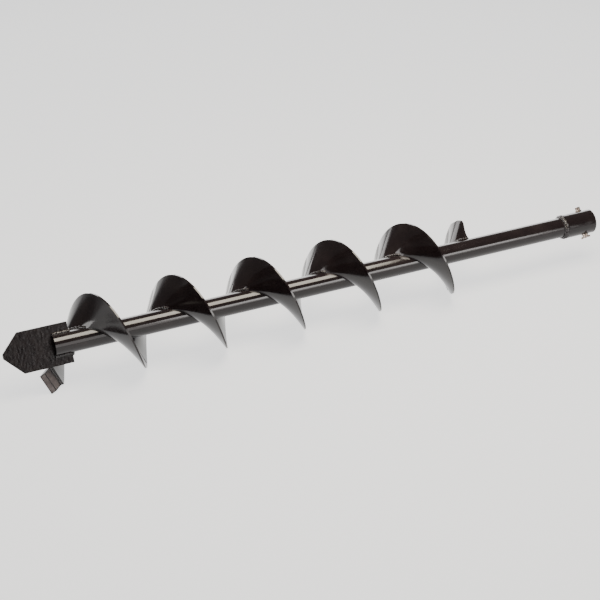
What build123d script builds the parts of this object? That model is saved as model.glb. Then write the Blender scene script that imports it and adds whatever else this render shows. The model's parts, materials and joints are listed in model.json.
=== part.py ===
from build123d import *
import math
import os

# Auger bit for drilling fishing holes through ice, lying along X.
# The origin is the centre of the drive collar's mouth. +X leaves the mouth,
# -X points at the cutting tip and +Z is up. All sizes are in millimetres.
# An angle about the shaft starts at +Z and grows towards -Y, so that it
# follows a right-handed helix as X grows.

# shaft tube
TUBE_R = 15.875
TUBE_WALL = 2.5
TUBE_START = -898.0
TUBE_END = -34.0

# point plate, held in a slot across the tube's open end
PLATE_LENGTH = 98.0
PLATE_HALF_WIDTH = 30.0
PLATE_THICKNESS = 6.0
PLATE_TIP = -971.0
PLATE_TIP_FLAT = 7.0
PLATE_SHOULDER = 25.4
PLATE_ANGLE = -26.5
SLOT_CLEARANCE = 0.1

# flighting: one right-handed screw, made of single turns butted end to end
FLIGHT_R = 62.25
FLIGHT_PITCH = 125.8
FLIGHT_DISH = 20.0
FLIGHT_ROOT_THICKNESS = 3.2
FLIGHT_RIM_THICKNESS = 2.2
FLIGHT_START = -892.0
FLIGHT_START_ANGLE = 169.2
FULL_TURNS = 5
END_TURN = 0.49
TURN_GAP = 0.1
ROOT_GAP = 0.05

# the last flight is cut off straight, with its corner clipped and rounded
END_CUT_ROOT = (5.1, 13.7)
END_CUT_CORNER = (37.9, 34.1)
END_CUT_RIM = (66.0, 9.1)
END_CORNER_R = 15.0

# cutter blade, a chisel-ground tooth across the first flight's leading edge
BLADE_LENGTH = 33.4
BLADE_WIDTH = 20.2
BLADE_THICKNESS = 4.5
BLADE_BEVEL = 7.2
BLADE_EDGE_LAND = 0.6
BLADE_OUTER_R = 61.1
BLADE_RAKE = 56.0
BLADE_GAP = 0.9

# drive collar, a sleeve that takes the driver's shaft
COLLAR_R = 19.05
COLLAR_LENGTH = 51.5
COLLAR_TUBE_FIT = 0.05
DRIVE_BORE_R = 15.975
MOUTH_LAND = 12.0
MOUTH_CHAMFER = 0.4
RIM_CHAMFER = 0.9
RELIEF_R = 16.8
RELIEF_LENGTH = 10.0
PUNCH_MARK_X = -8.0
PUNCH_MARK_ANGLE = 26.0
PUNCH_MARK_R = 1.4
PUNCH_MARK_DEPTH = 0.7

# cross bolt M5 and its wing nut
BOLT_X = -16.5
BOLT_ANGLE = -39.5
BOLT_R = 2.5
BOLT_TIP = -25.5
BOLT_HOLE_R = 2.8
HEAD_ACROSS_FLATS = 8.0
HEAD_HEIGHT = 3.5
SEAT_GAP = 0.15
WASHER_R = 5.3
WASHER_BORE_R = 2.7
WASHER_THICKNESS = 1.2
LOCK_WASHER_R = 3.8
LOCK_WASHER_BORE_R = 2.6
LOCK_WASHER_THICKNESS = 1.8
LOCK_WASHER_SPLIT = 0.8
NUT_BORE_R = 2.56
NUT_HUB_R = 4.3
NUT_HUB_TOP_R = 3.6
NUT_HUB_HEIGHT = 4.2
WING_SPAN = 18.5
WING_HEIGHT = 5.0
WING_TIP_WIDTH = 3.0
WING_TIP_HEIGHT = 2.6
WING_THICKNESS = 1.5
WING_ANGLE = 74.0

# weld beads
TACK_R = 2.4
TACK_SWEEP = 70.0
TACK_START_ANGLE = -75.0
END_WELD_START_ANGLE = -65.0
END_WELD_SWEEP = 45.0
START_WELD_R = 2.2
START_WELD_OUTER_R = 23.0
SEAM_BEAD_R = 2.1
SEAM_BEAD_INSET = 2.0
PLATE_BEAD_R = 2.5
BLADE_BEAD_R = 1.9
COLLAR_WELD_LENGTH = 7.0
COLLAR_WELD_HEIGHT = 3.0


def save(piece, name):
    """Label a finished piece and write its STEP file."""
    piece.part.label = name
    export_step(piece.part, f"parts/{name}.step")


def radial(angle):
    """Unit vector away from the shaft's axis at an angle about it."""
    return Vector(0, -math.sin(math.radians(angle)), math.cos(math.radians(angle)))


def around(angle):
    """Unit vector around the shaft's axis, the way the angle grows."""
    return Vector(0, -math.cos(math.radians(angle)), -math.sin(math.radians(angle)))


def flight_x(angle, radius):
    """X of the flight's middle surface; the root lies nearer the tip than the rim."""
    rim_x = FLIGHT_START + FLIGHT_PITCH * (angle - FLIGHT_START_ANGLE) / 360
    return rim_x - FLIGHT_DISH * (FLIGHT_R - radius) / (FLIGHT_R - TUBE_R)


def flight_point(angle, radius):
    """Point on the flight's middle surface."""
    return radial(angle) * radius + Vector(flight_x(angle, radius), 0, 0)


def half_thickness_along_x(radius):
    """Half of the flight's thickness, measured along X; the rim is rolled thinner than the root."""
    share = (FLIGHT_R - radius) / (FLIGHT_R - TUBE_R)
    thickness = FLIGHT_RIM_THICKNESS + (FLIGHT_ROOT_THICKNESS - FLIGHT_RIM_THICKNESS) * share
    dish_slope = FLIGHT_DISH / (FLIGHT_R - TUBE_R)
    helix_slope = FLIGHT_PITCH / (2 * math.pi * radius)
    return thickness / 2 * math.sqrt(1 + dish_slope**2 + helix_slope**2)


def screw_path(start_angle, sweep_angle, radius, start_x):
    """Helix of the flight's pitch, starting at an angle, a radius and an X."""
    height = FLIGHT_PITCH * sweep_angle / 360
    start = Plane(origin=(start_x, 0, 0), x_dir=radial(start_angle), z_dir=(1, 0, 0))
    return start * Edge.make_helix(FLIGHT_PITCH, height, radius)


def flight_piece(start_angle, sweep_angle):
    """One length of flighting, swept along its helix from a radial section."""
    root_r = TUBE_R + ROOT_GAP
    outline = [
        (radius, flight_x(start_angle, radius) + side * half_thickness_along_x(radius))
        for radius, side in ((root_r, 1), (FLIGHT_R, 1), (FLIGHT_R, -1), (root_r, -1))
    ]
    section_plane = Plane(x_dir=radial(start_angle), z_dir=-around(start_angle), origin=(0, 0, 0))
    with BuildPart() as piece:
        with BuildLine() as rim:
            add(screw_path(start_angle, sweep_angle, FLIGHT_R, flight_x(start_angle, FLIGHT_R)))
        with BuildSketch(section_plane):
            with BuildLine():
                Polyline(outline, close=True)
            make_face()
        sweep(path=rim.line, is_frenet=True)
    return piece


def root_bead(start_angle, sweep_angle, bead_r):
    """Weld bead in the corner between the shaft and the flight's cutting side."""
    radius = TUBE_R + bead_r / 4
    start_x = flight_x(start_angle, TUBE_R) - half_thickness_along_x(TUBE_R)
    path = screw_path(start_angle, sweep_angle, radius, start_x)
    with BuildSketch(Plane(origin=path @ 0, z_dir=path % 0)) as section:
        Circle(bead_r)
    return sweep(section.sketch, path=path, is_frenet=True, mode=Mode.PRIVATE)


def straight_bead(start, end, bead_r):
    """Straight weld bead between two points."""
    run = end - start
    with BuildSketch(Plane(origin=start, z_dir=run)) as section:
        Circle(bead_r)
    return extrude(section.sketch, amount=run.length, mode=Mode.PRIVATE)


os.makedirs("parts", exist_ok=True)

# ---------------------------------------------------------------- shaft tube
plate_rear = PLATE_TIP + PLATE_LENGTH
slot_end = plate_rear + SLOT_CLEARANCE
plate_plane = Plane(origin=(0, 0, 0), x_dir=(1, 0, 0), z_dir=around(PLATE_ANGLE))

with BuildPart() as shaft_tube:
    with BuildSketch(Plane.YZ.offset(TUBE_START)):
        Circle(TUBE_R)
        Circle(TUBE_R - TUBE_WALL, mode=Mode.SUBTRACT)
    extrude(amount=TUBE_END - TUBE_START)
    with BuildSketch(plate_plane):
        with Locations(((TUBE_START + slot_end) / 2, 0)):
            Rectangle(slot_end - TUBE_START, 3 * TUBE_R)
    extrude(amount=PLATE_THICKNESS / 2 + SLOT_CLEARANCE, both=True, mode=Mode.SUBTRACT)
save(shaft_tube, "shaft_tube")

# --------------------------------------------------------------- point plate
shoulder_x = PLATE_TIP + PLATE_SHOULDER

with BuildPart() as point_plate:
    with BuildSketch(plate_plane):
        with BuildLine():
            Polyline(
                (PLATE_TIP, -PLATE_TIP_FLAT / 2),
                (shoulder_x, -PLATE_HALF_WIDTH),
                (plate_rear, -PLATE_HALF_WIDTH),
                (plate_rear, PLATE_HALF_WIDTH),
                (shoulder_x, PLATE_HALF_WIDTH),
                (PLATE_TIP, PLATE_TIP_FLAT / 2),
                close=True,
            )
        make_face()
    extrude(amount=PLATE_THICKNESS / 2, both=True)
    chamfer(point_plate.edges().filter_by(lambda edge: edge.length > PLATE_THICKNESS + 1), length=0.4)
save(point_plate, "point_plate")

# ----------------------------------------------------------------- flighting
for turn in range(FULL_TURNS):
    flight_turn = flight_piece(FLIGHT_START_ANGLE + 360 * turn, 360 - TURN_GAP)
    save(flight_turn, f"flight_turn_{turn + 1}")

end_start_angle = FLIGHT_START_ANGLE + 360 * FULL_TURNS
end_length = FLIGHT_PITCH * END_TURN
end_x = flight_x(end_start_angle, FLIGHT_R)

with BuildPart() as flight_end_turn:
    add(flight_piece(end_start_angle, 360 * END_TURN).part)
    with BuildSketch(Plane.YZ.offset(end_x - FLIGHT_DISH)) as trailing_cut:
        with BuildLine():
            Polyline(
                END_CUT_ROOT,
                END_CUT_CORNER,
                END_CUT_RIM,
                (END_CUT_RIM[0], 2 * FLIGHT_R),
                (-FLIGHT_R, 2 * FLIGHT_R),
                (-FLIGHT_R, 0),
                (0, 0),
                close=True,
            )
        make_face()
        corner = trailing_cut.vertices().sort_by_distance((*END_CUT_CORNER, 0))[0]
        fillet(corner, END_CORNER_R)
    extrude(amount=end_length + 2 * FLIGHT_DISH, mode=Mode.SUBTRACT)
save(flight_end_turn, "flight_end_turn")

# -------------------------------------------------------------- cutter blade
outward = radial(FLIGHT_START_ANGLE)
backward = around(FLIGHT_START_ANGLE)
tilt = math.atan2(FLIGHT_DISH, FLIGHT_R - TUBE_R)
rake = math.radians(BLADE_RAKE)
along_edge = outward * math.cos(tilt) + Vector(math.sin(tilt), 0, 0)
across_edge = Vector(math.cos(tilt), 0, 0) - outward * math.sin(tilt)
to_seam = across_edge * math.sin(rake) + backward * math.cos(rake)
rake_normal = along_edge.cross(to_seam)
seam_outer = (
    flight_point(FLIGHT_START_ANGLE, BLADE_OUTER_R)
    - Vector(half_thickness_along_x(BLADE_OUTER_R), 0, 0)
    - to_seam * BLADE_GAP
)
seam_inner = seam_outer - along_edge * BLADE_LENGTH

with BuildPart() as cutter_blade:
    with BuildSketch(Plane(origin=seam_inner, x_dir=to_seam, z_dir=along_edge)):
        with BuildLine():
            Polyline(
                (0, 0),
                (BLADE_BEVEL - BLADE_WIDTH, 0),
                (-BLADE_WIDTH, BLADE_EDGE_LAND - BLADE_THICKNESS),
                (-BLADE_WIDTH, -BLADE_THICKNESS),
                (0, -BLADE_THICKNESS),
                close=True,
            )
        make_face()
    extrude(amount=BLADE_LENGTH)
save(cutter_blade, "cutter_blade")

# -------------------------------------------------------------- drive collar
relief_end = -MOUTH_LAND - RELIEF_LENGTH

with BuildPart() as drive_collar:
    with BuildSketch(Plane.XZ):
        with BuildLine():
            Polyline(
                (-COLLAR_LENGTH, TUBE_R + COLLAR_TUBE_FIT),
                (relief_end, TUBE_R + COLLAR_TUBE_FIT),
                (relief_end, RELIEF_R),
                (-MOUTH_LAND, RELIEF_R),
                (-MOUTH_LAND, DRIVE_BORE_R),
                (-MOUTH_CHAMFER, DRIVE_BORE_R),
                (0, DRIVE_BORE_R + MOUTH_CHAMFER),
                (0, COLLAR_R - RIM_CHAMFER),
                (-RIM_CHAMFER, COLLAR_R),
                (-COLLAR_LENGTH, COLLAR_R),
                close=True,
            )
        make_face()
    revolve(axis=Axis.X)
    with BuildSketch(Plane(origin=(BOLT_X, 0, 0), z_dir=radial(BOLT_ANGLE))):
        Circle(BOLT_HOLE_R)
    extrude(amount=2 * COLLAR_R, both=True, mode=Mode.SUBTRACT)
    punch_face = radial(PUNCH_MARK_ANGLE) * (COLLAR_R - PUNCH_MARK_DEPTH) + Vector(PUNCH_MARK_X, 0, 0)
    with BuildSketch(Plane(origin=punch_face, z_dir=radial(PUNCH_MARK_ANGLE))):
        Circle(PUNCH_MARK_R)
    extrude(amount=2 * PUNCH_MARK_DEPTH, taper=-20, mode=Mode.SUBTRACT)
save(drive_collar, "drive_collar")

# ------------------------------------------------- cross bolt, washers, nut
bolt_axis = radial(BOLT_ANGLE)


def bolt_plane(height):
    """Plane across the bolt, at a height from the shaft's axis towards the head."""
    return Plane(origin=bolt_axis * height + Vector(BOLT_X, 0, 0), x_dir=(1, 0, 0), z_dir=bolt_axis)


head_washer_seat = COLLAR_R + SEAT_GAP
lock_washer_seat = head_washer_seat + WASHER_THICKNESS
head_seat = lock_washer_seat + LOCK_WASHER_THICKNESS
nut_seat = -COLLAR_R - SEAT_GAP - WASHER_THICKNESS

with BuildPart() as head_washer:
    with BuildSketch(bolt_plane(head_washer_seat)):
        Circle(WASHER_R)
        Circle(WASHER_BORE_R, mode=Mode.SUBTRACT)
    extrude(amount=WASHER_THICKNESS)
save(head_washer, "head_washer")

with BuildPart() as lock_washer:
    with BuildSketch(bolt_plane(lock_washer_seat)):
        Circle(LOCK_WASHER_R)
        Circle(LOCK_WASHER_BORE_R, mode=Mode.SUBTRACT)
        with Locations((LOCK_WASHER_R, 0)):
            Rectangle(2 * LOCK_WASHER_BORE_R, LOCK_WASHER_SPLIT, mode=Mode.SUBTRACT)
    extrude(amount=LOCK_WASHER_THICKNESS)
save(lock_washer, "lock_washer")

with BuildPart() as cross_bolt:
    with BuildSketch(bolt_plane(head_seat)):
        RegularPolygon(HEAD_ACROSS_FLATS / 2, 6, major_radius=False)
    extrude(amount=HEAD_HEIGHT)
    chamfer(cross_bolt.faces().sort_by(Axis((0, 0, 0), bolt_axis))[-1].edges(), length=0.5)
    with BuildSketch(bolt_plane(BOLT_TIP)):
        Circle(BOLT_R)
    extrude(amount=head_seat - BOLT_TIP)
    chamfer(cross_bolt.faces().sort_by(Axis((0, 0, 0), bolt_axis))[0].edges(), length=0.8)
save(cross_bolt, "cross_bolt")

with BuildPart() as nut_washer:
    with BuildSketch(bolt_plane(nut_seat)):
        Circle(WASHER_R)
        Circle(WASHER_BORE_R, mode=Mode.SUBTRACT)
    extrude(amount=WASHER_THICKNESS)
save(nut_washer, "nut_washer")

wing_turn = math.radians(WING_ANGLE)
wing_plane = Plane(
    origin=bolt_plane(nut_seat - SEAT_GAP).origin,
    x_dir=Vector(math.cos(wing_turn), 0, 0) + around(BOLT_ANGLE) * math.sin(wing_turn),
    z_dir=-bolt_axis,
)

with BuildPart() as wing_nut:
    with BuildSketch(wing_plane):
        Circle(NUT_HUB_R)
    with BuildSketch(wing_plane.offset(NUT_HUB_HEIGHT)):
        Circle(NUT_HUB_TOP_R)
    loft()
    with BuildSketch(wing_plane * Plane.XZ):
        with BuildLine():
            Polyline(
                (-NUT_HUB_TOP_R, NUT_HUB_HEIGHT / 8),
                (NUT_HUB_TOP_R, NUT_HUB_HEIGHT / 8),
                (WING_SPAN / 2, WING_HEIGHT - WING_TIP_HEIGHT),
                (WING_SPAN / 2, WING_HEIGHT),
                (WING_SPAN / 2 - WING_TIP_WIDTH, WING_HEIGHT),
                (NUT_HUB_TOP_R, NUT_HUB_HEIGHT * 3 / 4),
                (-NUT_HUB_TOP_R, NUT_HUB_HEIGHT * 3 / 4),
                (WING_TIP_WIDTH - WING_SPAN / 2, WING_HEIGHT),
                (-WING_SPAN / 2, WING_HEIGHT),
                (-WING_SPAN / 2, WING_HEIGHT - WING_TIP_HEIGHT),
                close=True,
            )
        make_face()
    extrude(amount=WING_THICKNESS / 2, both=True)
    with BuildSketch(wing_plane):
        Circle(NUT_BORE_R)
    extrude(amount=NUT_HUB_HEIGHT + 1, mode=Mode.SUBTRACT)
save(wing_nut, "wing_nut")

# --------------------------------------------------------------------- welds
with BuildPart() as point_plate_welds:
    junction = math.sqrt(TUBE_R**2 - (PLATE_THICKNESS / 2) ** 2)
    for side in (-1, 1):
        edge = radial(PLATE_ANGLE) * side * junction
        for face in (-1, 1):
            offset = edge + around(PLATE_ANGLE) * face * PLATE_THICKNESS / 2
            bead_start = Vector(TUBE_START, 0, 0) + offset
            bead_end = Vector(plate_rear, 0, 0) + offset
            add(straight_bead(bead_start, bead_end, PLATE_BEAD_R))
        rear = edge * (1 + PLATE_BEAD_R / TUBE_R / 2) + Vector(plate_rear, 0, 0)
        across = around(PLATE_ANGLE) * PLATE_THICKNESS / 2
        add(straight_bead(rear - across, rear + across, PLATE_BEAD_R))
save(point_plate_welds, "point_plate_welds")

with BuildPart() as blade_weld:
    add(straight_bead(seam_inner, seam_outer, BLADE_BEAD_R))
save(blade_weld, "blade_weld")

with BuildPart() as flight_start_weld:
    add(
        straight_bead(
            flight_point(FLIGHT_START_ANGLE, TUBE_R + START_WELD_R),
            flight_point(FLIGHT_START_ANGLE, START_WELD_OUTER_R),
            START_WELD_R,
        )
    )
save(flight_start_weld, "flight_start_weld")

with BuildPart() as flight_tack_welds:
    for turn in range(FULL_TURNS):
        add(root_bead(TACK_START_ANGLE + 360 * (turn + 1), TACK_SWEEP, TACK_R))
save(flight_tack_welds, "flight_tack_welds")

with BuildPart() as flight_seam_welds:
    for turn in range(1, FULL_TURNS + 1):
        seam_angle = FLIGHT_START_ANGLE + 360 * turn
        seam_root = flight_point(seam_angle, TUBE_R + SEAM_BEAD_R)
        add(straight_bead(seam_root, flight_point(seam_angle, FLIGHT_R - SEAM_BEAD_INSET), SEAM_BEAD_R))
save(flight_seam_welds, "flight_seam_welds")

with BuildPart() as flight_end_weld:
    add(root_bead(END_WELD_START_ANGLE + 360 * (FULL_TURNS + 1), END_WELD_SWEEP, TACK_R))
save(flight_end_weld, "flight_end_weld")

with BuildPart() as collar_weld:
    with BuildSketch(Plane.XZ):
        with BuildLine():
            root = (-COLLAR_LENGTH, TUBE_R)
            toe = (-COLLAR_LENGTH - COLLAR_WELD_LENGTH, TUBE_R)
            top = (-COLLAR_LENGTH, TUBE_R + COLLAR_WELD_HEIGHT)
            Line(root, toe)
            crown = (-COLLAR_LENGTH - 0.71 * COLLAR_WELD_LENGTH, TUBE_R + 0.73 * COLLAR_WELD_HEIGHT)
            ThreePointArc(toe, crown, top)
            Line(top, root)
        make_face()
    revolve(axis=Axis.X)
save(collar_weld, "collar_weld")
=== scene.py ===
import json
import math

import bmesh
import bpy
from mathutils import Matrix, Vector, noise


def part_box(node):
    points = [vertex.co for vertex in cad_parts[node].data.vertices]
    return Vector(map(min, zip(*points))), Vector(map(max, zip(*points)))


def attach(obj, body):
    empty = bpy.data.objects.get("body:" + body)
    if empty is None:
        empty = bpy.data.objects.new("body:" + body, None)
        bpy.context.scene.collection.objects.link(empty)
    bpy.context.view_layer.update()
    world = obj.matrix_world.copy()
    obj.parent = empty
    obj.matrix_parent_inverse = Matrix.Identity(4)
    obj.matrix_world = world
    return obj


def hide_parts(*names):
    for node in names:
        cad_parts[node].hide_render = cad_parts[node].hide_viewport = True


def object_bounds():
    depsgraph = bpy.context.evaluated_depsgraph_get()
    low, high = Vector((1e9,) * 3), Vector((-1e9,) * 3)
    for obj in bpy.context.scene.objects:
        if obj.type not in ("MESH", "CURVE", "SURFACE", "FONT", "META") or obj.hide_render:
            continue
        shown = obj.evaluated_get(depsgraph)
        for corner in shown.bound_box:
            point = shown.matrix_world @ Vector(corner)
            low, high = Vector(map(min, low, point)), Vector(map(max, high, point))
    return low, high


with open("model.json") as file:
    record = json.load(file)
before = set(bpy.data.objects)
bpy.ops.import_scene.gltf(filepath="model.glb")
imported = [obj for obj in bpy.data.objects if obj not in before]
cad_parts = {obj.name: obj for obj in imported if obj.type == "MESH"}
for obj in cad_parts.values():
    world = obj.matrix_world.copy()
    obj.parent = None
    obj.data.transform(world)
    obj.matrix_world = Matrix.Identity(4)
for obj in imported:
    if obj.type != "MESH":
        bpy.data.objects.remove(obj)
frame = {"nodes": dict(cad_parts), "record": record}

# Looks of the auger bit. Metres, in the part's own frame: the shaft lies along X, the cutting
# tip points to -X, +Z is up and the origin is the centre of the drive collar's mouth.

MM = 0.001
cad_low, cad_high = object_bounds()
nodes = frame["nodes"]

# ------------------------------------------------------------ sizes from the frame
tube_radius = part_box("shaft_tube")[1].z
flight_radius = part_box("flight_turn_1")[1].z
floor_z = cad_low.z

# ------------------------------------------------------------------ camera and light
CAMERA_PLACE = Vector((-1.3310, -1.8026, 1.1849))
CAMERA_AIM = Vector((0.3520, 0.7780, -0.5204))
CAMERA_LENS = 92.23
SENSOR_WIDTH = 36.0
CLIP_NEAR, CLIP_FAR = 0.05, 60.0

# the floor glows evenly out to its bright radius and fades to its far tint at its dim radius
FLOOR_RADIUS = 14.0
FLOOR_BRIGHT_RADIUS = 1.2
FLOOR_DIM_RADIUS = 3.2
FLOOR_BASE = (0.15, 0.15, 0.15, 1.0)
FLOOR_GLOW = 1.5
FLOOR_NEAR_TINT = (1.0, 1.0, 1.0)
FLOOR_FAR_TINT = (0.38, 0.38, 0.385)

# brightness of the backdrop below and above the horizon, and the heights it changes between
BACKDROP_LOW, BACKDROP_HIGH = 0.6, 0.20
HORIZON_FROM, HORIZON_TO = -0.01, 0.04

CREAM = (1.0, 0.92, 0.78)
WARM_WHITE = (1.0, 0.97, 0.95)
CLEAN_WHITE = (1.0, 0.98, 0.97)
CARD_WHITE = (1.0, 0.98, 0.96)


# ------------------------------------------------------------------ material helpers
class Shader:
    """A Principled material that is built up node by node."""

    def __init__(self, name):
        self.material = bpy.data.materials.new(name)
        self.material.use_nodes = True
        self.tree = self.material.node_tree
        self.surface = self.tree.nodes["Principled BSDF"]
        self.place = self.add("ShaderNodeTexCoord").outputs["Object"]

    def add(self, kind, **settings):
        node = self.tree.nodes.new(kind)
        for key, value in settings.items():
            setattr(node, key, value)
        return node

    def link(self, source, target):
        self.tree.links.new(source, target)

    def set(self, **values):
        """Constants, straight on the surface's own sockets."""
        for key, value in values.items():
            self.surface.inputs[key.replace("_", " ")].default_value = value

    def noise(self, scale, detail=3.0, roughness=0.55, stretch=None):
        """Noise at a scale per metre, with that scale multiplied along each axis if asked."""
        texture = self.add("ShaderNodeTexNoise")
        texture.inputs["Scale"].default_value = scale
        texture.inputs["Detail"].default_value = detail
        texture.inputs["Roughness"].default_value = roughness
        place = self.place
        if stretch:
            mapping = self.add("ShaderNodeMapping")
            mapping.inputs["Scale"].default_value = stretch
            self.link(self.place, mapping.inputs["Vector"])
            place = mapping.outputs["Vector"]
        self.link(place, texture.inputs["Vector"])
        return texture.outputs["Fac"]

    def cells(self, scale):
        """Distance to the nearest cell centre, smoothed."""
        texture = self.add("ShaderNodeTexVoronoi", feature="SMOOTH_F1")
        texture.inputs["Scale"].default_value = scale
        self.link(self.place, texture.inputs["Vector"])
        return texture.outputs["Distance"]

    def remap(self, source, low, high, out_low=0.0, out_high=1.0):
        """Smooth step from out_low at low to out_high at high."""
        node = self.add("ShaderNodeMapRange", interpolation_type="SMOOTHSTEP")
        for key, value in (("From Min", low), ("From Max", high), ("To Min", out_low), ("To Max", out_high)):
            node.inputs[key].default_value = value
        self.link(source, node.inputs["Value"])
        return node.outputs["Result"]

    def math(self, operation, first, second):
        node = self.add("ShaderNodeMath", operation=operation)
        for socket, value in zip(node.inputs, (first, second)):
            if isinstance(value, (int, float)):
                socket.default_value = value
            else:
                self.link(value, socket)
        return node.outputs["Value"]

    def mix(self, share, first, second):
        """Colour between first, at share 0, and second, at share 1."""
        node = self.add("ShaderNodeMix", data_type="RGBA")
        self.link(share, node.inputs["Factor"])
        for socket, value in ((node.inputs[6], first), (node.inputs[7], second)):
            if isinstance(value, tuple):
                socket.default_value = (*value, 1.0)
            else:
                self.link(value, socket)
        return node.outputs[2]

    def bump(self, layers):
        """Stacks bumps; each layer is a height, its depth in metres and a strength."""
        normal = None
        for height, depth, strength in layers:
            node = self.add("ShaderNodeBump")
            node.inputs["Distance"].default_value = depth
            node.inputs["Strength"].default_value = strength
            self.link(height, node.inputs["Height"])
            if normal:
                self.link(normal, node.inputs["Normal"])
            normal = node.outputs["Normal"]
        self.link(normal, self.surface.inputs["Normal"])

    def axis_distance(self):
        """Distance from the shaft's axis, in metres."""
        split = self.add("ShaderNodeSeparateXYZ")
        self.link(self.place, split.inputs["Vector"])
        across = self.math("MULTIPLY", split.outputs["Y"], split.outputs["Y"])
        up = self.math("MULTIPLY", split.outputs["Z"], split.outputs["Z"])
        return self.math("SQRT", self.math("ADD", across, up), 0.0)


# ------------------------------------------------------------------------ materials
def gloss_paint():
    """Wet-looking black enamel with orange peel, settled dust and chips on the flights' rims."""
    shader = Shader("gloss_black_paint")
    clean, dusty, chipped = (0.0072, 0.0047, 0.0051), (0.0126, 0.0090, 0.0092), (0.034, 0.029, 0.028)
    dust = shader.remap(shader.noise(26, 5, 0.65), 0.42, 0.78)
    tone = shader.mix(dust, clean, dusty)
    rim = shader.remap(shader.axis_distance(), flight_radius - 1.0 * MM, flight_radius - 0.2 * MM)
    chips = shader.remap(shader.noise(620, 4, 0.7), 0.64, 0.70)
    worn = shader.math("MULTIPLY", rim, chips)
    shader.link(shader.mix(worn, tone, chipped), shader.surface.inputs["Base Color"])
    haze = shader.remap(shader.noise(48, 4), 0.30, 0.75, 0.08, 0.16)
    rough = shader.math("ADD", haze, shader.math("MULTIPLY", worn, 0.3))
    shader.link(rough, shader.surface.inputs["Roughness"])
    orange_peel, sag = shader.noise(420, 2), shader.noise(36, 2)
    shader.bump(((orange_peel, 0.05 * MM, 0.30), (sag, 0.30 * MM, 0.16)))
    shader.set(IOR=1.4)
    return shader.material


def plate_paint():
    """Thick brown-black paint over hammered, pitted plate."""
    shader = Shader("rough_black_paint")
    thick, thin, bare = (0.0036, 0.0022, 0.0025), (0.0085, 0.0060, 0.0062), (0.050, 0.042, 0.038)
    mottle = shader.remap(shader.noise(95, 5, 0.65), 0.36, 0.70)
    tone = shader.mix(mottle, thick, thin)
    nick = shader.remap(shader.noise(210, 5, 0.75), 0.70, 0.74)
    shader.link(shader.mix(nick, tone, bare), shader.surface.inputs["Base Color"])
    shader.link(shader.remap(shader.noise(130, 4), 0.3, 0.7, 0.24, 0.40), shader.surface.inputs["Roughness"])
    pits, grain = shader.cells(290), shader.noise(560, 4, 0.65)
    shader.bump(((pits, 0.55 * MM, 0.45), (grain, 0.40 * MM, 0.60)))
    shader.set(IOR=1.22)
    return shader.material


def weld_paint():
    """Black enamel pooled over a rippled bead, lighter where it is thin."""
    shader = Shader("painted_weld")
    pooled, spread = (0.0088, 0.0063, 0.0067), (0.0180, 0.0140, 0.0138)
    thin = shader.remap(shader.noise(300, 4, 0.7), 0.52, 0.72)
    tone = shader.mix(thin, pooled, spread)
    shader.link(tone, shader.surface.inputs["Base Color"])
    shader.link(shader.remap(shader.noise(210, 3), 0.3, 0.7, 0.14, 0.30), shader.surface.inputs["Roughness"])
    shader.bump(((shader.noise(900, 3), 0.10 * MM, 0.25),))
    shader.set(IOR=1.4)
    return shader.material


def tool_steel():
    """Ground cutter, browned by heat and scratched along its grind."""
    shader = Shader("worn_tool_steel")
    browned, bright = (0.050, 0.041, 0.041), (0.082, 0.071, 0.070)
    stain = shader.remap(shader.noise(110, 5, 0.65), 0.35, 0.68)
    tone = shader.mix(stain, browned, bright)
    shader.link(tone, shader.surface.inputs["Base Color"])
    shader.link(shader.remap(shader.noise(260, 4), 0.3, 0.7, 0.44, 0.62), shader.surface.inputs["Roughness"])
    grind = shader.noise(900, 3, 0.6, stretch=(1.0, 1.0, 0.08))
    shader.bump(((grind, 0.10 * MM, 0.35), (shader.noise(240, 3), 0.20 * MM, 0.25)))
    shader.set(Metallic=0.4, IOR=1.35)
    return shader.material


def zinc_plate():
    """Dull yellowish zinc with a fine spangle and darker handling marks."""
    shader = Shader("zinc_plated_steel")
    plated, handled = (0.34, 0.28, 0.24), (0.10, 0.080, 0.072)
    marks = shader.remap(shader.noise(360, 5, 0.65), 0.38, 0.72)
    tone = shader.mix(marks, plated, handled)
    shader.link(tone, shader.surface.inputs["Base Color"])
    shader.link(shader.remap(shader.noise(500, 3), 0.3, 0.7, 0.26, 0.44), shader.surface.inputs["Roughness"])
    shader.bump(((shader.noise(1300, 3), 0.04 * MM, 0.35),))
    shader.set(Metallic=1.0)
    return shader.material


MATERIALS = {
    "gloss_black_paint": gloss_paint(),
    "rough_black_paint": plate_paint(),
    "painted_weld": weld_paint(),
    "worn_tool_steel": tool_steel(),
    "zinc_plated_steel": zinc_plate(),
}


def dress(piece, slot):
    """Gives a piece its finish."""
    piece.data.materials.clear()
    piece.data.materials.append(MATERIALS[slot])


for row in frame["record"]["subparts"]:
    dress(nodes[row["node"]], row["material_slot"])


# ------------------------------------------------------------------- made-up pieces
def remeshed(node, voxel):
    """A bmesh of one CAD node, rebuilt in even cells of the voxel's size."""
    copy = bpy.data.objects.new(node + "_copy", nodes[node].data.copy())
    bpy.context.scene.collection.objects.link(copy)
    remesh = copy.modifiers.new("remesh", "REMESH")
    remesh.mode = "VOXEL"
    remesh.voxel_size = voxel
    made = bpy.data.meshes.new_from_object(copy.evaluated_get(bpy.context.evaluated_depsgraph_get()))
    bpy.data.objects.remove(copy)
    form = bmesh.new()
    form.from_mesh(made)
    form.normal_update()
    return form


def displace(form, rise):
    """Moves each vertex along its normal by the rise at its place, and shades all faces smooth."""
    moves = [vert.normal * rise(vert.co) for vert in form.verts]
    for vert, move in zip(form.verts, moves):
        vert.co += move
    for face in form.faces:
        face.smooth = True


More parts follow.
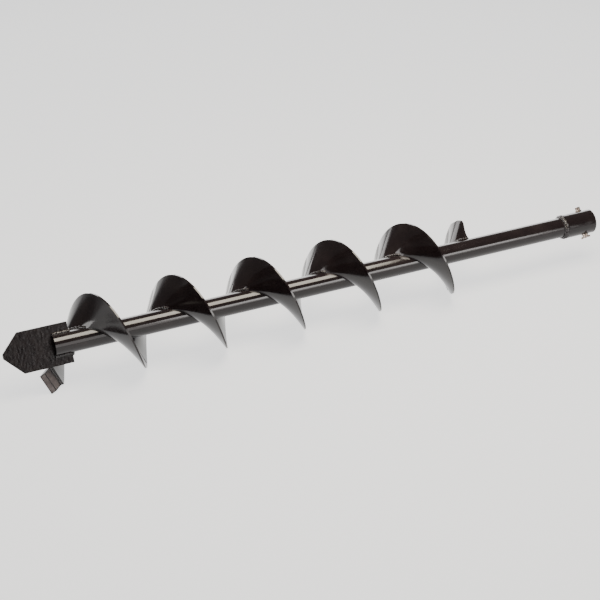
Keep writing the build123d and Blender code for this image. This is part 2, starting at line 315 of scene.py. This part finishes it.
def finished(name, form, node, body, *slots):
    """A piece made from a bmesh, in place of one CAD node, with the slots' materials in the order given."""
    made = bpy.data.meshes.new(name)
    form.to_mesh(made)
    form.free()
    piece = bpy.data.objects.new(name, made)
    bpy.context.scene.collection.objects.link(piece)
    for slot in slots:
        made.materials.append(MATERIALS[slot])
    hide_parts(node)
    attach(piece, body)


# ---------------------------------------------------------------------- weld beads
WANDER_SCALE, WANDER = 260, 2.7
LUMP_SCALE, FINE_LUMP_SCALE, FINE_LUMP = 210, 520, 0.5
SMOOTHING_PASSES = 2


def around_shaft(point):
    """Run of a bead that follows the shaft round, measured at the tube's surface."""
    return math.atan2(-point.y, point.z) * tube_radius


def along_line(low, high):
    """Run of a straight bead, measured along its box's longest way."""
    way = high - low
    longest = max(range(3), key=lambda axis: way[axis])
    return lambda point: point[longest] - low[longest]


def weld(node, run, ripple, ripple_height, lump_height, voxel, slot="painted_weld", dressed=0.0):
    """A lumpy, rippled bead over a plain CAD one, ground down all over by the dressed depth."""
    form = remeshed(node, voxel)
    for _ in range(SMOOTHING_PASSES):
        bmesh.ops.smooth_vert(
            form, verts=form.verts, factor=0.5, use_axis_x=True, use_axis_y=True, use_axis_z=True
        )
    form.normal_update()

    def rise(place):
        wander = noise.noise(place * WANDER_SCALE) * WANDER
        wave = 0.5 + 0.5 * math.cos(2 * math.pi * run(place) / ripple + wander)
        lump = noise.noise(place * LUMP_SCALE) + FINE_LUMP * noise.noise(place * FINE_LUMP_SCALE)
        return wave * ripple_height + lump * lump_height - dressed

    displace(form, rise)
    finished(node + "_bead", form, node, "root", slot)


weld("collar_weld", around_shaft, 3.2 * MM, 0.5 * MM, 0.55 * MM, 0.55 * MM)
weld("flight_tack_welds", around_shaft, 2.6 * MM, 0.4 * MM, 0.6 * MM, 0.5 * MM)
weld("flight_end_weld", around_shaft, 2.6 * MM, 0.4 * MM, 0.6 * MM, 0.45 * MM)
for straight, height in (("point_plate_welds", 0.5), ("blade_weld", 0.35), ("flight_start_weld", 0.35)):
    weld(straight, along_line(*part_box(straight)), 2.4 * MM, height * MM, height * MM, 0.45 * MM)
weld(
    "flight_seam_welds", along_line(*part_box("flight_seam_welds")), 2.4 * MM, 0.10 * MM, 0.05 * MM, 0.45 * MM,
    slot="gloss_black_paint", dressed=0.30 * MM,
)


# ---------------------------------------------------------- plate, blade and bolt
def hammered_plate(voxel, dent, fine):
    """The point plate with rounded arrises and the shallow dents of hammered, thickly painted bar."""
    dent_scale, grain_scale = (330, 170, 170), 520

    def rise(place):
        dents = noise.noise(Vector([along * scale for along, scale in zip(place, dent_scale)]))
        grain = noise.noise(place * grain_scale)
        return -(dent * (1 + dents) + fine * (1 + grain))

    form = remeshed("point_plate", voxel)
    displace(form, rise)
    finished("point_plate_skin", form, "point_plate", "root", "rough_black_paint")


def ground_blade(rim, recess, arris):
    """The cutter: ground facets a little below painted rims, with rounded arrises."""
    facets, upper_end = 2, 4 * MM
    form = bmesh.new()
    form.from_mesh(nodes["cutter_blade"].data)
    bmesh.ops.remove_doubles(form, verts=form.verts, dist=0.01 * MM)
    bmesh.ops.dissolve_limit(form, angle_limit=math.radians(2), verts=form.verts, edges=form.edges)
    bmesh.ops.bevel(form, geom=form.edges[:], offset=arris, segments=2, profile=0.5, affect="EDGES")
    form.normal_update()
    for face in form.faces:
        face.material_index = 1
    middle = sum((vert.co for vert in form.verts), Vector()) / len(form.verts)
    back = max(form.faces, key=lambda face: face.calc_area()).normal.copy()
    fronts = [face for face in form.faces if face.normal.dot(back) < -0.5]
    for face in sorted(fronts, key=lambda face: -face.calc_area())[:facets]:
        bmesh.ops.inset_individual(form, faces=[face], thickness=rim, depth=0.0)
        bmesh.ops.inset_individual(form, faces=[face], thickness=recess, depth=-recess)
        face.material_index = 0
        top = max(vert.co.z for vert in face.verts)
        edges = [edge.verts[0].co - edge.verts[1].co for edge in face.edges]
        down = max(edges, key=lambda way: way.length).normalized()
        down = down if down.z < 0 else -down
        for vert in face.verts:
            if vert.co.z > top - upper_end and (vert.co - middle).dot(down) < 0:
                vert.co += down * rim
    finished("cutter_blade_ground", form, "cutter_blade", "root", "worn_tool_steel", "gloss_black_paint")


def threaded_bolt(pitch, depth, thread_length, steps, segments):
    """The cross bolt with its own head and a cut thread on the end of its shank."""
    foot_band, head_step, head_overlap, lead_in_length = 3 * MM, 0.5 * MM, 0.4 * MM, 0.8 * MM
    joint = next(row for row in frame["record"]["behaviour"]["joints"] if row["name"] == "bolt_draw")
    axis = Vector(joint["axis"]).normalized()
    low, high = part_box("cross_bolt")
    centre = (low + high) / 2
    side = Vector((1.0, 0.0, 0.0))
    across = axis.cross(side)
    form = bmesh.new()
    form.from_mesh(nodes["cross_bolt"].data)
    heights = [(vert.co - centre).dot(axis) for vert in form.verts]
    spread = [(vert.co - centre - axis * height).length for vert, height in zip(form.verts, heights)]
    foot = min(heights)
    shank_radius = max(wide for wide, height in zip(spread, heights) if height < foot + foot_band)
    seat = min(height for wide, height in zip(spread, heights) if wide > shank_radius + head_step)
    cut = bmesh.ops.bisect_plane(
        form, geom=form.verts[:] + form.edges[:] + form.faces[:],
        plane_co=centre + axis * (seat - head_overlap), plane_no=axis, clear_inner=True,
    )
    rim_edges = [item for item in cut["geom_cut"] if isinstance(item, bmesh.types.BMEdge)]
    bmesh.ops.edgeloop_fill(form, edges=rim_edges)
    length = seat - foot
    rows = int(length / pitch * steps)
    rings = []
    for row in range(rows + 1):
        height = length * row / rows
        fade = min(1.0, max(0.0, (thread_length - height) / pitch)) * min(1.0, height / pitch)
        lead_in = min(0.0, height - lead_in_length)
        ring = []
        for step in range(segments):
            angle = 2 * math.pi * step / segments
            tooth = abs(2 * ((height / pitch - step / segments) % 1.0) - 1)
            radius = shank_radius - depth * fade * tooth + lead_in
            ring.append(form.verts.new(
                centre + axis * (foot + height) + (side * math.cos(angle) + across * math.sin(angle)) * radius
            ))
        rings.append(ring)
    for lower, upper in zip(rings, rings[1:]):
        for step in range(segments):
            after = (step + 1) % segments
            form.faces.new((lower[step], lower[after], upper[after], upper[step])).smooth = True
    form.faces.new(rings[0][::-1])
    form.faces.new(rings[-1])
    bmesh.ops.recalc_face_normals(form, faces=form.faces[:])
    finished("cross_bolt_threaded", form, "cross_bolt", "bolt", "zinc_plated_steel")


hammered_plate(0.9 * MM, 0.19 * MM, 0.08 * MM)
ground_blade(0.75 * MM, 0.18 * MM, 0.2 * MM)
threaded_bolt(0.8 * MM, 0.38 * MM, 24.0 * MM, 8, 28)

FLIGHT_ARRIS = 1.2
ARRISES = {"wing_nut": 0.3, "head_washer": 0.12, "nut_washer": 0.12, "lock_washer": 0.12}
ARRISES.update({node: FLIGHT_ARRIS for node in nodes if node.startswith("flight_turn_")})
ARRISES["flight_end_turn"] = FLIGHT_ARRIS
for node, width in ARRISES.items():
    arris = nodes[node].modifiers.new("arris", "BEVEL")
    arris.width = width * MM
    arris.segments = 4
    arris.limit_method = "ANGLE"
    arris.angle_limit = math.radians(35)

# ---------------------------------------------------------------- floor and studio
floor_mesh = bpy.data.meshes.new("studio_floor")
floor_form = bmesh.new()
bmesh.ops.create_circle(floor_form, cap_ends=True, segments=96, radius=FLOOR_RADIUS)
floor_form.to_mesh(floor_mesh)
floor_form.free()
floor = bpy.data.objects.new("studio_floor", floor_mesh)
floor.location = ((cad_low.x + cad_high.x) / 2, 0, floor_z)
bpy.context.scene.collection.objects.link(floor)
floor_paint = Shader("studio_floor")
away = floor_paint.add("ShaderNodeVectorMath", operation="LENGTH")
floor_paint.link(floor_paint.place, away.inputs[0])
dim = floor_paint.remap(away.outputs["Value"], FLOOR_BRIGHT_RADIUS, FLOOR_DIM_RADIUS)
glow = floor_paint.mix(dim, FLOOR_NEAR_TINT, FLOOR_FAR_TINT)
floor_paint.link(glow, floor_paint.surface.inputs["Emission Color"])
floor_paint.set(Base_Color=FLOOR_BASE, Roughness=0.9, Emission_Strength=FLOOR_GLOW, Specular_IOR_Level=0.0)
floor.data.materials.append(floor_paint.material)


def softbox(name, place, aim, size, radiance, colour, lights_floor=False):
    """A rectangular soft light, its long side level. Most are only there to be reflected."""
    lamp = bpy.data.lights.new(name, "AREA")
    lamp.shape = "RECTANGLE"
    lamp.size, lamp.size_y = size
    lamp.energy = radiance * math.pi * size[0] * size[1]
    lamp.color = colour
    holder = bpy.data.objects.new(name, lamp)
    holder.location = place
    holder.rotation_euler = (Vector(aim) - Vector(place)).to_track_quat("-Z", "Y").to_euler()
    holder.visible_camera = False
    holder.visible_diffuse = lights_floor
    bpy.context.scene.collection.objects.link(holder)


softbox("overhead", (-0.35, -0.15, 1.2), (-0.35, -0.15, 0.0), (1.04, 0.78), 21.0, CREAM, lights_floor=True)
softbox("front_band", (0.58, -2.2, 0.92), (0.58, 0.0, 0.92), (1.30, 0.80), 9.0, WARM_WHITE)
softbox("front_fill", (0.40, -2.3, 0.70), (0.40, 0.0, 0.70), (1.90, 1.34), 3.4, WARM_WHITE)
softbox("back_strip", (-0.05, 2.2, 0.62), (-0.05, 0.0, 0.62), (3.10, 1.20), 5.5, CLEAN_WHITE)
softbox("back_floor", (0.10, 0.64, floor_z + 2 * MM), (0.10, 0.64, 1.0), (1.85, 0.72), 3.3, CLEAN_WHITE)
softbox("side_card", (-1.82, -0.56, 0.62), (-1.00, -0.36, 1.19), (0.78, 1.67), 9.0, CARD_WHITE)

world = bpy.data.worlds.new("studio")
world.use_nodes = True
bpy.context.scene.world = world
backdrop = world.node_tree
sky = backdrop.nodes["Background"]
direction = backdrop.nodes.new("ShaderNodeTexCoord")
split = backdrop.nodes.new("ShaderNodeSeparateXYZ")
fade = backdrop.nodes.new("ShaderNodeMapRange")
fade.interpolation_type = "SMOOTHSTEP"
horizon = (
    ("From Min", HORIZON_FROM), ("From Max", HORIZON_TO), ("To Min", BACKDROP_LOW), ("To Max", BACKDROP_HIGH),
)
for key, value in horizon:
    fade.inputs[key].default_value = value
backdrop.links.new(direction.outputs["Generated"], split.inputs["Vector"])
backdrop.links.new(split.outputs["Z"], fade.inputs["Value"])
backdrop.links.new(fade.outputs["Result"], sky.inputs["Color"])
sky.inputs["Strength"].default_value = 1.0

view = bpy.data.cameras.new("camera")
view.lens = CAMERA_LENS
view.sensor_width = SENSOR_WIDTH
view.clip_start, view.clip_end = CLIP_NEAR, CLIP_FAR
camera = bpy.data.objects.new("camera", view)
camera.location = CAMERA_PLACE
camera.rotation_euler = CAMERA_AIM.to_track_quat("-Z", "Y").to_euler()
bpy.context.scene.collection.objects.link(camera)
bpy.context.scene.camera = camera
